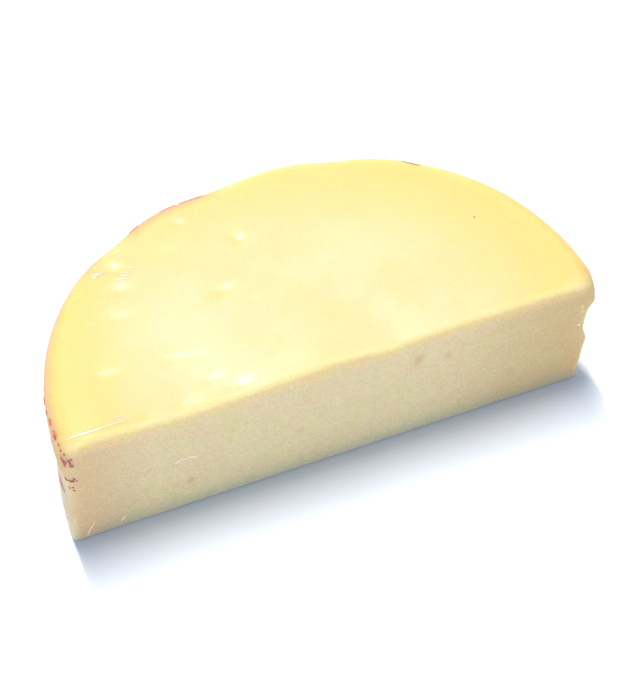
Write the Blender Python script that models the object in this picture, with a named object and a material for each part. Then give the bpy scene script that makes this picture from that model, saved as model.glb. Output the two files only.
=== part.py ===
"""Half a wheel of provolone cheese, drawn tight in clear film and resting on its flat base.

The cut faces -Y, the rim curves round towards +Y, and +Z is up.
"""
import math

import bmesh
import bpy

# Driving dimensions, in metres.
HALF_WIDTH = 0.1303         # half of the cut, from end to end
DEPTH = 0.1270              # from the cut to the back of the rim
HEIGHT = 0.0738             # from the base to the top
SQUARENESS = 2.17           # exponent of the rim's outline, where 2 is an ellipse

# Edges, in metres: how far each one reaches in over the face, and how far it drops.
RIM_TOP_REACH = 0.0095
RIM_TOP_DROP = 0.0095
CUT_TOP_REACH = 0.0042
CUT_TOP_DROP = 0.0045
BASE_REACH = 0.0034
BASE_DROP = 0.0038

# Radii of the two upright corners of the cut, at the base and at the top.
LEFT_CORNER = (0.0034, 0.0080)
RIGHT_CORNER = (0.0012, 0.0130)

TOP_CROWN = 0.0008          # how far the middle of the top stands above its edge
MIDDLE_SHARE = 0.42         # place of that middle, as a share of DEPTH behind the cut

# Swells and dents of the rim: name, angle in degrees round from +X, reach in degrees,
# height as a share of HEIGHT, reach in height, and how far the rim stands out in metres.
ALL_HEIGHTS = 9.0
RIM_SWELLS = (
    ("right cheek", 8.5, 18.5, 0.5, ALL_HEIGHTS, 0.0026),
    ("right side", 31.7, 13.0, 0.5, ALL_HEIGHTS, 0.0013),
    ("right shoulder", 55.0, 23.0, 0.5, ALL_HEIGHTS, 0.0008),
    ("flat right of the back", 71.6, 6.2, 0.5, ALL_HEIGHTS, -0.0018),
    ("long flat of the back", 96.0, 23.7, 0.5, ALL_HEIGHTS, -0.0010),
    ("dent of the back", 96.6, 9.0, 0.5, ALL_HEIGHTS, -0.0026),
    ("dent where the film gathers", 121.5, 6.5, 1.0, 0.30, -0.0021),
    ("left shoulder", 144.8, 21.5, 0.5, ALL_HEIGHTS, 0.0009),
    ("waist of the left end", 180.0, 20.1, 0.46, 0.195, -0.0022),
    ("upper lip of the right end", 0.0, 8.0, 0.764, 0.102, 0.0036),
    ("lower lip of the right end", 0.0, 10.1, 0.714, 0.024, 0.0012),
    ("pinch of the right end", 0.0, 9.9, 0.407, 0.277, -0.0039),
    ("film gathered at the right end", 0.0, 6.0, 0.375, 0.068, 0.0020),
    ("foot of the right end", 0.0, 12.0, 0.056, 0.146, -0.0052),
)

# Waves of the top edge of the cut: place along X, reach along X, and rise, all in metres.
EDGE_WAVES = (
    (-0.110, 0.018, 0.0011),
    (-0.066, 0.026, -0.0016),
    (-0.001, 0.018, 0.0015),
    (0.027, 0.012, -0.0012),
    (0.070, 0.030, 0.0006),
)
EDGE_WAVE_DEPTH = 0.030     # how far back over the top the waves fade out

# How finely the faces are divided.
RIM_STEPS = 64
CORNER_STEPS = 8
CUT_STEPS = 22
WALL_STEPS = 24
TOP_EDGE_STEPS = 6
BASE_EDGE_STEPS = 3
CAP_RINGS = 3


def rim_point(angle, inset):
    """Point of the rim's plain outline at an angle in radians, moved in by inset."""
    power = 2.0 / SQUARENESS
    x = math.copysign(abs(math.cos(angle)) ** power, math.cos(angle))
    y = abs(math.sin(angle)) ** power
    return (HALF_WIDTH - inset) * x, (DEPTH - inset) * y


def rim_angle_at(y, inset):
    """Angle in radians at which the outline stands y behind the cut, at the +X end."""
    return math.asin((y / (DEPTH - inset)) ** (SQUARENESS / 2.0))


def swell_out(angle, height_share):
    """How far the rim stands out of its plain outline."""
    out = 0.0
    for _, centre, reach, middle, tall, amount in RIM_SWELLS:
        turn = (math.degrees(angle) - centre) / reach
        rise = (height_share - middle) / tall
        out += amount * math.exp(-turn * turn - rise * rise)
    return out


def edge_wave(x, y):
    """How far the top edge of the cut rises above its straight line."""
    rise = sum(amount * math.exp(-((x - place) / reach) ** 2) for place, reach, amount in EDGE_WAVES)
    return rise * math.exp(-(y / EDGE_WAVE_DEPTH) ** 2)


def smooth_step(share):
    share = min(max(share, 0.0), 1.0)
    return share * share * (3.0 - 2.0 * share)


def corner_radius(corner, height_share):
    return corner[0] + (corner[1] - corner[0]) * smooth_step(height_share)


def outline(rim_inset, cut_inset, height_share):
    """One level of the wheel: (x, y, share of cut) counter-clockwise from the +X corner."""
    right_radius = corner_radius(RIGHT_CORNER, height_share)
    left_radius = corner_radius(LEFT_CORNER, height_share)
    start = rim_angle_at(cut_inset + right_radius, rim_inset)
    end = math.pi - rim_angle_at(cut_inset + left_radius, rim_inset)
    points = []
    for step in range(RIM_STEPS + 1):
        angle = start + (end - start) * step / RIM_STEPS
        x, y = rim_point(angle, rim_inset)
        out = swell_out(angle, height_share)
        points.append((x + out * math.cos(angle), y + out * math.sin(angle), 0.0))

    right_x, right_y, _ = points[0]
    left_x, left_y, _ = points[-1]
    for step in range(1, CORNER_STEPS + 1):
        turn = 0.5 * math.pi * step / CORNER_STEPS
        x = left_x + left_radius * (1.0 - math.cos(turn))
        y = left_y - (left_y - cut_inset) * math.sin(turn)
        points.append((x, y, smooth_step(step / CORNER_STEPS)))

    cut_start = left_x + left_radius
    cut_end = right_x - right_radius
    for step in range(1, CUT_STEPS):
        points.append((cut_start + (cut_end - cut_start) * step / CUT_STEPS, cut_inset, 1.0))

    for step in range(CORNER_STEPS):
        turn = 0.5 * math.pi * (1.0 - step / CORNER_STEPS)
        x = right_x - right_radius * (1.0 - math.cos(turn))
        y = right_y - (right_y - cut_inset) * math.sin(turn)
        points.append((x, y, smooth_step(1.0 - step / CORNER_STEPS)))
    return points


def levels():
    """Rows of (rim inset, cut inset, rim height, cut height) from the base to the top."""
    rows = []
    for step in range(BASE_EDGE_STEPS + 1):
        turn = 0.5 * math.pi * step / BASE_EDGE_STEPS
        inset = BASE_REACH * (1.0 - math.sin(turn))
        height = BASE_DROP * (1.0 - math.cos(turn))
        rows.append((inset, inset, height, height))
    rim_top = HEIGHT - RIM_TOP_DROP
    cut_top = HEIGHT - CUT_TOP_DROP
    for step in range(1, WALL_STEPS):
        share = step / WALL_STEPS
        rim_height = BASE_DROP + (rim_top - BASE_DROP) * share
        cut_height = BASE_DROP + (cut_top - BASE_DROP) * share
        rows.append((0.0, 0.0, rim_height, cut_height))
    for step in range(TOP_EDGE_STEPS + 1):
        turn = 0.5 * math.pi * step / TOP_EDGE_STEPS
        inward = 1.0 - math.cos(turn)
        up = math.sin(turn)
        rows.append((RIM_TOP_REACH * inward, CUT_TOP_REACH * inward,
                     rim_top + RIM_TOP_DROP * up, cut_top + CUT_TOP_DROP * up))
    return rows


def level_points():
    """All levels as rings of (x, y, z)."""
    rings = []
    for rim_inset, cut_inset, rim_height, cut_height in levels():
        ring = []
        share = rim_height / HEIGHT
        for x, y, cut_share in outline(rim_inset, cut_inset, share):
            z = rim_height + (cut_height - rim_height) * cut_share
            ring.append((x, y, z + edge_wave(x, y) * (z / HEIGHT) ** 2))
        rings.append(ring)
    return rings


def top_point(x, y, share):
    """Point of the top, where share runs from 0 at its edge to 1 in the middle."""
    crown = TOP_CROWN * (1.0 - (1.0 - share) ** 2)
    return x, y, HEIGHT + crown + edge_wave(x, y)


def cap_rings(ring, centre):
    """Rings that close the top from its last level towards its centre."""
    rings = []
    for step in range(1, CAP_RINGS + 1):
        share = step / (CAP_RINGS + 1)
        rings.append([top_point(x + (centre[0] - x) * share, y + (centre[1] - y) * share, share)
                      for x, y, _ in ring])
    return rings


def add_ring(mesh, ring, shift):
    return [mesh.verts.new((x - shift[0], y - shift[1], z)) for x, y, z in ring]


def join_rings(mesh, lower, upper):
    count = len(lower)
    for place in range(count):
        after = (place + 1) % count
        mesh.faces.new((lower[place], lower[after], upper[after], upper[place]))


def close_ring(mesh, ring, centre, upwards):
    """Fan of faces from a ring to its centre."""
    count = len(ring)
    for place in range(count):
        after = (place + 1) % count
        pair = (ring[place], ring[after]) if upwards else (ring[after], ring[place])
        mesh.faces.new((pair[0], pair[1], centre))


def make_cheese_mesh():
    rings = level_points()
    xs = [point[0] for ring in rings for point in ring]
    ys = [point[1] for ring in rings for point in ring]
    shift = ((min(xs) + max(xs)) / 2.0, (min(ys) + max(ys)) / 2.0)
    centre = (0.0, MIDDLE_SHARE * DEPTH)
    rings += cap_rings(rings[-1], centre)

    mesh = bmesh.new()
    rows = [add_ring(mesh, ring, shift) for ring in rings]
    for lower, upper in zip(rows, rows[1:]):
        join_rings(mesh, lower, upper)
    peak, = add_ring(mesh, [top_point(*centre, 1.0)], shift)
    foot, = add_ring(mesh, [(*centre, 0.0)], shift)
    close_ring(mesh, rows[-1], peak, upwards=True)
    close_ring(mesh, rows[0], foot, upwards=False)
    bmesh.ops.recalc_face_normals(mesh, faces=mesh.faces)

    data = bpy.data.meshes.new("wrapped_cheese")
    mesh.to_mesh(data)
    mesh.free()
    return data


def make_cheese_material():
    material = bpy.data.materials.new("pale_cheese_in_film")
    material.use_nodes = True
    shader = material.node_tree.nodes["Principled BSDF"]
    shader.inputs["Base Color"].default_value = (0.92, 0.79, 0.42, 1.0)
    shader.inputs["Roughness"].default_value = 0.32
    shader.inputs["Metallic"].default_value = 0.0
    return material


def build():
    for old in list(bpy.data.objects):
        bpy.data.objects.remove(old, do_unlink=True)
    cheese = bpy.data.objects.new("wrapped_cheese", make_cheese_mesh())
    bpy.context.scene.collection.objects.link(cheese)
    cheese.data.materials.append(make_cheese_material())
    cheese.data.shade_smooth()
    cheese.data.set_sharp_from_angle(angle=math.radians(40.0))


build()
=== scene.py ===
# Half a wheel of provolone, drawn tight in clear printed film, on a pale floor.
# The cut faces -Y, the rim curves round to +Y and the base lies on z = 0. All sizes are in metres.
import math

import bpy
import numpy as np
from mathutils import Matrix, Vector


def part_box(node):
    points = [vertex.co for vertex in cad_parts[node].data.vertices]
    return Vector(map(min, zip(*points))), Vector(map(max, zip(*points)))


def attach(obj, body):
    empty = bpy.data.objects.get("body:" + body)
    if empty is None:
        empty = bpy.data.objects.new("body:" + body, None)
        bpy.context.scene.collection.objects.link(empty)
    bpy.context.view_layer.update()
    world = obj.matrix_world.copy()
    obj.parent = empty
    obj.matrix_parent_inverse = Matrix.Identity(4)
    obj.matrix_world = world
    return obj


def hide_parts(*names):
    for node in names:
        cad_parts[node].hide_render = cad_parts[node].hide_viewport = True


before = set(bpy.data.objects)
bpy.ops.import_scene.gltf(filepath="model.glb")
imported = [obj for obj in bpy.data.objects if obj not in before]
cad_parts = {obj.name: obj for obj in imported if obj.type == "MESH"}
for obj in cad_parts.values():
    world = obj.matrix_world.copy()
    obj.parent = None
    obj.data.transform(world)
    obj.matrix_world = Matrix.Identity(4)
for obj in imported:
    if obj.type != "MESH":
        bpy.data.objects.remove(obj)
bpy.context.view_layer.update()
nodeName = "wrapped_cheese"
boxLow, boxHigh = [Vector(corner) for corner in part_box(nodeName)]
boxSize = boxHigh - boxLow
print("frame loaded: box of", [round(side, 4) for side in boxSize])


class Signal:
    # A node's output that can be used in sums: each operation adds one Math node.
    def __init__(self, bench, socket):
        self.bench = bench
        self.socket = socket

    def maths(self, operation, first, second):
        return self.bench.node("ShaderNodeMath", {"operation": operation}, {0: first, 1: second})

    def __add__(self, other):
        return self.maths("ADD", self, other)

    def __radd__(self, other):
        return self.maths("ADD", other, self)

    def __sub__(self, other):
        return self.maths("SUBTRACT", self, other)

    def __rsub__(self, other):
        return self.maths("SUBTRACT", other, self)

    def __mul__(self, other):
        return self.maths("MULTIPLY", self, other)

    def __rmul__(self, other):
        return self.maths("MULTIPLY", other, self)

    def __truediv__(self, other):
        return self.maths("DIVIDE", self, other)

    def __pow__(self, other):
        return self.maths("POWER", self, other)

    def atMost(self, other):
        return self.maths("MINIMUM", self, other)

    def atLeast(self, other):
        return self.maths("MAXIMUM", self, other)


class Bench:
    # A node tree with one method for adding nodes, and short names for the usual ones.
    def __init__(self, tree):
        self.tree = tree
        self.entry = None       # a geometry tree's own inputs

    def node(self, kind, settings=None, inputs=None, output=0):
        # The settings come first, because they decide which sockets there are.
        made = self.tree.nodes.new(kind)
        for name, value in (settings or {}).items():
            setattr(made, name, value)
        for name, value in (inputs or {}).items():
            if isinstance(value, Signal):
                self.tree.links.new(value.socket, made.inputs[name])
            else:
                made.inputs[name].default_value = value
        return Signal(self, made.outputs[output]) if len(made.outputs) else made

    def given(self, name):
        return Signal(self, self.entry.outputs[name])

    def place(self):
        return self.node("ShaderNodeTexCoord", output="Object")

    def attribute(self, name):
        return self.node("ShaderNodeAttribute", {"attribute_name": name}, output="Fac")

    def blend(self, share, first, second):
        return self.node("ShaderNodeMix", {"data_type": "RGBA"},
                         {"Factor": share, 6: first, 7: second}, output=2)

    def shade(self, share, first, second):
        return self.node("ShaderNodeMix", {"data_type": "RGBA", "blend_type": "MULTIPLY"},
                         {"Factor": share, 6: first, 7: second}, output=2)

    def ramp(self, value, low, high, most=1.0):
        # A soft rise from 0 at low to most at high; it falls where low is the larger.
        return self.node("ShaderNodeMapRange", {"interpolation_type": "SMOOTHSTEP"},
                         {"Value": value, "From Min": low, "From Max": high, "To Max": most})

    def named(self, name):
        return self.node("GeometryNodeInputNamedAttribute", {"data_type": "FLOAT"}, {"Name": name})

    def part(self, where, axis):
        return self.node("ShaderNodeSeparateXYZ", None, {"Vector": where}, output=axis)

    def grain(self, where, size, detail=2.0, roughness=0.5):
        return self.node("ShaderNodeTexNoise", None, {"Vector": where, "Scale": 1.0 / size,
                                                      "Detail": detail, "Roughness": roughness})

    def vector(self, operation, first, second=None, output="Vector"):
        inputs = {0: first}
        if second is not None:
            inputs["Scale" if operation == "SCALE" else 1] = second
        return self.node("ShaderNodeVectorMath", {"operation": operation}, inputs, output=output)

    def bump(self, height, distance, strength):
        return self.node("ShaderNodeBump", None,
                         {"Height": height, "Distance": distance, "Strength": strength})


def addObject(name, data):
    made = bpy.data.objects.new(name, data)
    bpy.context.scene.collection.objects.link(made)
    return made


def newMaterial(name):
    material = bpy.data.materials.new(name)
    material.use_nodes = True
    material.node_tree.nodes.clear()
    return material, Bench(material.node_tree)


def finishMaterial(bench, shader):
    bench.node("ShaderNodeOutputMaterial", None, {"Surface": shader})


def newTree(name, inputs):
    # A geometry tree with the mesh it works on and named inputs for its sizes.
    tree = bpy.data.node_groups.new(name, "GeometryNodeTree")
    tree.interface.new_socket("Geometry", in_out="OUTPUT", socket_type="NodeSocketGeometry")
    for label, kind in {"Geometry": "Geometry", **inputs}.items():
        tree.interface.new_socket(label, in_out="INPUT", socket_type="NodeSocket" + kind)
    bench = Bench(tree)
    bench.entry = tree.nodes.new("NodeGroupInput")
    return bench


def finishTree(bench, geometry):
    real = bench.node("GeometryNodeRealizeInstances", None, {"Geometry": geometry})
    painted = bench.node("GeometryNodeSetMaterial", None,
                         {"Geometry": real, "Material": bench.given("Material")})
    bench.node("NodeGroupOutput", None, {"Geometry": painted})


def growPiece(name, mesh, bench, values):
    # Runs a geometry tree on a mesh and leaves the result as a plain mesh.
    piece = addObject(name, mesh)
    modifier = piece.modifiers.new(name, "NODES")
    modifier.node_group = bench.tree
    for item in bench.tree.interface.items_tree:
        if item.in_out == "INPUT" and item.name in values:
            modifier[item.identifier] = values[item.name]
    graph = bpy.context.evaluated_depsgraph_get()
    grown = bpy.data.meshes.new_from_object(piece.evaluated_get(graph), depsgraph=graph)
    piece.modifiers.remove(modifier)
    piece.data = grown
    bpy.data.meshes.remove(mesh)
    grown.name = name
    return piece


def guideMesh(name, points, edges=(), **values):
    # Points or edges for a tree to read, with values on the points.
    mesh = bpy.data.meshes.new(name)
    mesh.from_pydata(points, edges, [])
    for label, numbers in values.items():
        mesh.attributes.new(label, "FLOAT", "POINT").data.foreach_set("value", numbers)
    return mesh


# The half wheel. Its outline is a stretched ellipse, and swells push the rim in and out.
wheel = {
    "halfWidth": 0.5 * boxSize.x - 0.00222,  # the cheek at the right end stands past it
    "depth": boxSize.y + 0.00161,            # the dent at the back takes this much away
    "height": boxSize.z - 0.00146,           # the waves of the cut's top edge rise above it
    "squareness": 2.17,                      # 2 is a true ellipse
    "rimTop": (0.0095, 0.0095),              # rounding of each edge: reach inwards, drop
    "cutTop": (0.0042, 0.0045),
    "base": (0.0018, 0.0020),
    "leftCorner": (0.0034, 0.0080),          # radius at the base and at the top
    "rightCorner": (0.0012, 0.0130),
    "crown": 0.0008,                         # how far the middle of the top stands up
    "middle": 0.42,                          # where that middle is, as a share of the depth
    "waveDepth": 0.030,                      # how far over the top the edge's waves run
    "paintedWarmBandDrop": 0.009,                       # the painted warm band under the cut's top edge: painted light shining through the edge
    "edgeBand": 0.012,                       # how far the cut's top edge is told apart, both ways
    "cutFade": (0.4, 0.9),                   # the cut's look ends between these shares of that edge
    "calmMiddle": 0.05,                      # nearer the middle the rim's swells count for less
    "rimSteps": 300,
    "cornerSteps": 10,
    "cutSteps": 230,
    "wallSteps": 56,
    "topEdgeSteps": 12,
    "baseEdgeSteps": 6,
    "topRings": 62,
    "baseRings": 8,
}

# Swells of the rim: degrees round from +X, reach, height share, reach in height, metres out.
everyHeight = 9.0   # a reach so long that a swell is the same from base to top
rimSwells = {
    "right cheek": (8.5, 18.5, 0.5, everyHeight, 0.0026),
    "right side": (31.7, 13.0, 0.5, everyHeight, 0.0013),
    "right shoulder": (55.0, 23.0, 0.5, everyHeight, 0.0008),
    "flat right of the back": (71.6, 6.2, 0.5, everyHeight, -0.0018),
    "long flat of the back": (96.0, 23.7, 0.5, everyHeight, -0.0010),
    "dent of the back": (96.6, 9.0, 0.5, everyHeight, -0.0026),
    "dent where the film gathers": (121.5, 6.5, 1.0, 0.30, -0.0021),
    "left shoulder": (144.8, 21.5, 0.5, everyHeight, 0.0009),
    "waist of the left end": (180.0, 20.1, 0.46, 0.195, -0.0022),
    "upper lip of the right end": (0.0, 8.0, 0.764, 0.102, 0.0036),
    "lower lip of the right end": (0.0, 10.1, 0.714, 0.024, 0.0012),
    "pinch of the right end": (0.0, 9.9, 0.407, 0.277, -0.0039),
    "film gathered at the right end": (0.0, 6.0, 0.375, 0.068, 0.0020),
    "foot of the right end": (0.0, 12.0, 0.056, 0.146, -0.0052),
}

# Waves of the cut's top edge: place along X, reach and rise.
edgeWaves = (
    (-0.110, 0.018, 0.0011),
    (-0.066, 0.026, -0.0016),
    (-0.001, 0.018, 0.0015),
    (0.027, 0.012, -0.0012),
    (0.070, 0.030, 0.0006),
)


def smoothStep(share):
    share = np.clip(share, 0.0, 1.0)
    return share * share * (3.0 - 2.0 * share)


def rimPoint(angle, inset):
    power = 2.0 / wheel["squareness"]
    x = np.sign(np.cos(angle)) * np.abs(np.cos(angle)) ** power
    y = np.abs(np.sin(angle)) ** power
    return (wheel["halfWidth"] - inset) * x, (wheel["depth"] - inset) * y


def rimAngleAt(y, inset):
    return math.asin((y / (wheel["depth"] - inset)) ** (wheel["squareness"] / 2.0))


def swellOut(angle, heightShare):
    out = np.zeros_like(angle)
    for centre, reach, middle, tall, amount in rimSwells.values():
        turn = (np.degrees(angle) - centre) / reach
        rise = (heightShare - middle) / tall
        out += amount * np.exp(-turn * turn - rise * rise)
    return out


def edgeWave(x, y):
    rise = sum(amount * np.exp(-((x - place) / reach) ** 2) for place, reach, amount in edgeWaves)
    return rise * np.exp(-(y / wheel["waveDepth"]) ** 2)


def cornerRadius(corner, heightShare):
    low, high = wheel[corner]
    return low + (high - low) * float(smoothStep(heightShare))


def cornerRow(rimX, rimY, cutY, radius, turn):
    # A rounded upright corner: turn runs from 0 at the rim to 1 on the cut.
    bend = 0.5 * math.pi * turn
    return np.column_stack([rimX + radius * (1.0 - np.cos(bend)),
                            rimY - (rimY - cutY) * np.sin(bend), smoothStep(turn)])


def outline(rimInset, cutInset, heightShare):
    # One level of the wheel, counter-clockwise from the +X corner: x, y and share of cut.
    rightRadius = cornerRadius("rightCorner", heightShare)
    leftRadius = cornerRadius("leftCorner", heightShare)
    start = rimAngleAt(cutInset + rightRadius, rimInset)
    end = math.pi - rimAngleAt(cutInset + leftRadius, rimInset)
    angle = np.linspace(start, end, wheel["rimSteps"] + 1)
    out = swellOut(angle, heightShare)
    rimX, rimY = rimPoint(angle, rimInset)
    rimX = rimX + out * np.cos(angle)
    rimY = rimY + out * np.sin(angle)
    rim = np.column_stack([rimX, rimY, np.zeros_like(rimX)])

    steps = wheel["cornerSteps"]
    across = np.linspace(rimX[-1] + leftRadius, rimX[0] - rightRadius, wheel["cutSteps"] + 1)[1:-1]
    face = np.column_stack([across, np.full_like(across, cutInset), np.ones_like(across)])
    left = cornerRow(rimX[-1], rimY[-1], cutInset, leftRadius, np.arange(1, steps + 1) / steps)
    right = cornerRow(rimX[0], rimY[0], cutInset, -rightRadius, 1.0 - np.arange(steps) / steps)
    return np.concatenate([rim, left, face, right])


def levels():
    # Rows of rim inset, cut inset, rim height, cut height and share of the way onto the top.
    rows = []
    reach, drop = wheel["base"]
    for turn in np.linspace(0.0, 0.5 * math.pi, wheel["baseEdgeSteps"] + 1):
        inset = reach * (1.0 - math.sin(turn))
        height = drop * (1.0 - math.cos(turn))
        rows.append((inset, inset, height, height, 0.0))
    rimReach, rimDrop = wheel["rimTop"]
    cutReach, cutDrop = wheel["cutTop"]
    rimTop = wheel["height"] - rimDrop
    cutTop = wheel["height"] - cutDrop
    for share in np.linspace(0.0, 1.0, wheel["wallSteps"] + 1)[1:-1]:
        rows.append((0.0, 0.0, drop + (rimTop - drop) * share, drop + (cutTop - drop) * share, 0.0))
    for turn in np.linspace(0.0, 0.5 * math.pi, wheel["topEdgeSteps"] + 1):
        inward = 1.0 - math.cos(turn)
        rows.append((rimReach * inward, cutReach * inward, rimTop + rimDrop * math.sin(turn),
                     cutTop + cutDrop * math.sin(turn), turn / (0.5 * math.pi)))
    return rows


def topPoint(x, y, share):
    crown = wheel["crown"] * (1.0 - (1.0 - share) ** 2)
    return wheel["height"] + crown + edgeWave(x, y)


def wheelRings():
    # All rings from the middle of the base, up the walls, to the middle of the top. Each point
    # has its place, its share of the cut's look and its share of the painted warm band of light under
    # the edge.
    centreY = wheel["middle"] * wheel["depth"]
    fadeStart, fadeEnd = wheel["cutFade"]
    walls = []
    for rimInset, cutInset, rimHeight, cutHeight, topShare in levels():
        x, y, cut = outline(rimInset, cutInset, rimHeight / wheel["height"]).T
        z = rimHeight + (cutHeight - rimHeight) * cut
        z = z + edgeWave(x, y) * (z / wheel["height"]) ** 2
        onCut = cut * (1.0 - smoothStep((topShare - fadeStart) / (fadeEnd - fadeStart)))
        # the painted warm band of light under the cut's top edge
        paintedWarmBand = smoothStep((z - wheel["height"]) / wheel["paintedWarmBandDrop"] + 1.0)
        walls.append(np.column_stack([x, y, z, onCut, cut * paintedWarmBand * (1.0 - topShare ** 3)]))

    rings = []
    footX, footY = walls[0][:, 0], walls[0][:, 1]
    none = np.zeros_like(footX)
    for share in np.arange(1, wheel["baseRings"] + 1) / (wheel["baseRings"] + 1):
        y = centreY + (footY - centreY) * share
        rings.append(np.column_stack([footX * share, y, none, none, none]))
    rings += walls
    edgeX, edgeY = walls[-1][:, 0], walls[-1][:, 1]
    for share in np.arange(1, wheel["topRings"] + 1) / (wheel["topRings"] + 1):
        x = edgeX * (1.0 - share)
        y = edgeY + (centreY - edgeY) * share
        rings.append(np.column_stack([x, y, topPoint(x, y, share), none, none]))
    foot = (0.0, centreY, 0.0, 0.0, 0.0)
    peak = (0.0, centreY, float(topPoint(0.0, centreY, 1.0)), 0.0, 0.0)
    return np.array(rings), foot, peak


def findShift():
    # The wheel is worked out with the middle of its cut at x = y = 0: how far that is off.
    flat = wheelRings()[0][..., :2].reshape(-1, 2)
    middleX, middleY = 0.5 * (flat.min(axis=0) + flat.max(axis=0))
    return np.array([middleX - 0.5 * (boxLow.x + boxHigh.x),
                     middleY - 0.5 * (boxLow.y + boxHigh.y), -boxLow.z])


wheelShift = findShift()
print("wheel worked out, shift", wheelShift.round(5))


def wheelMesh():
    # The closed half wheel. Its attributes say how far out to the rim a point is, and how much
    # it belongs to the cut, to the painted warm band of light and to the cut's top edge.
    rings, foot, peak = wheelRings()
    ringCount, count = rings.shape[:2]
    points = np.concatenate([rings.reshape(-1, 5), [foot, peak]])
    x, y, z, cut, paintedWarmBand = points.T
    farX = (np.abs(x) / wheel["halfWidth"]) ** (0.5 * wheel["squareness"])
    farY = (y / wheel["depth"]) ** (0.5 * wheel["squareness"])
    swell = swellOut(np.arctan2(farY, np.sign(x) * farX), z / wheel["height"])
    rim = (farX ** 2 + farY ** 2) ** (1.0 / wheel["squareness"])
    rim = rim / (1.0 + swell / np.maximum(np.hypot(x, y), wheel["calmMiddle"]))
    edge = (smoothStep(1.0 - y / wheel["edgeBand"])
            * smoothStep(1.0 - (wheel["height"] - z) / wheel["edgeBand"]))

    index = np.arange(ringCount * count).reshape(ringCount, count)
    after = np.roll(index, -1, axis=1)
    quads = np.stack([index[:-1], after[:-1], after[1:], index[1:]], axis=-1).reshape(-1, 4)
    footIndex = ringCount * count
    footFan = [(after[0, place], index[0, place], footIndex) for place in range(count)]
    peakFan = [(index[-1, place], after[-1, place], footIndex + 1) for place in range(count)]

    mesh = bpy.data.meshes.new("wheel")
    mesh.from_pydata((points[:, :3] - wheelShift).tolist(), [],
                     quads.tolist() + footFan + peakFan)
    for label, numbers in (("rim", rim), ("cut", cut), ("paintedWarmBand", paintedWarmBand), ("edge", edge)):
        mesh.attributes.new(label, "FLOAT", "POINT").data.foreach_set("value", numbers)
    mesh.shade_smooth()
    return mesh


# Dents in the top, which the film follows: x, y, reach along X and Y, depth.
topDents = (
    (-0.0392, 0.1040, 0.0034, 0.0030, 0.00060),
    (-0.0170, 0.0848, 0.0046, 0.0040, 0.00070),
    (-0.0334, 0.0586, 0.0056, 0.0038, 0.00060),
    (-0.0222, 0.0478, 0.0036, 0.0028, 0.00035),
    (-0.0052, 0.0550, 0.0052, 0.0036, 0.00034),
    (-0.0772, 0.0764, 0.0044, 0.0036, 0.00050),
    (-0.0762, 0.0885, 0.0046, 0.0042, 0.00070),
    (-0.0830, 0.0610, 0.0044, 0.0032, 0.00034),
    (-0.0520, 0.0900, 0.0070, 0.0040, 0.00030),
    (-0.0980, 0.0330, 0.0060, 0.0026, 0.00030),
    (-0.0640, 0.0300, 0.0075, 0.0026, 0.00036),
    (-0.0548, 0.0145, 0.0050, 0.0024, 0.00042),
    (-0.0438, 0.0072, 0.0060, 0.0028, 0.00058),
    (-0.0712, 0.0066, 0.0055, 0.0022, 0.00056),
    (-0.0880, 0.0056, 0.0055, 0.0020, 0.00060),
    (0.0180, 0.0700, 0.0070, 0.0060, 0.00022),
    (0.0420, 0.0420, 0.0090, 0.0060, 0.00022),
    (0.0600, 0.0860, 0.0080, 0.0060, 0.00020),
    (0.0110, 0.0280, 0.0080, 0.0040, 0.00020),
    (0.0860, 0.0300, 0.0070, 0.0050, 0.00020),
)

# Small eyes and nicks in the cut: x, z, reach along X and Z, depth.
cutEyes = (
    (-0.0721, 0.0203, 0.0016, 0.0020, 0.00060),
    (0.0404, 0.0575, 0.0024, 0.0042, 0.00050),
    (0.0551, 0.0539, 0.0020, 0.0030, 0.00034),
    (-0.0180, 0.0330, 0.0012, 0.0012, 0.00030),
    (0.0900, 0.0240, 0.0014, 0.0022, 0.00035),
    (-0.1010, 0.0510, 0.0013, 0.0013, 0.00025),
)


def surfacePoint(x, y, z):
    # From the wheel's own measures to the frame's.
    return tuple(float(value) for value in np.array((x, y, z)) - wheelShift)


surface = {
    "gap": 0.00030,         # the flesh lies this far inside the film
    "unevenness": 0.00030,  # a slow rise and fall of the whole surface
    "patchSize": 0.0167,    # from one rise to the next
    "dentsInFilm": 0.9,     # share of a dent's depth that the film is drawn into
    "fullDent": 0.0005,     # a dent this deep counts as one whole dent in the looks
}


def dentMarks(withEyes):
    # An object with a point at each dent, which carries the dent's reach and depth.
    places = [((x, y, wheel["height"]), sizes) for x, y, *sizes in topDents]
    if withEyes:
        places += [((x, 0.0, z), sizes) for x, z, *sizes in cutEyes]
    wide, tall, deep = zip(*[sizes for place, sizes in places])
    mesh = guideMesh("dents", [surfacePoint(*place) for place, sizes in places],
                     wide=wide, tall=tall, deep=deep)
    return addObject("dents", mesh)


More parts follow.
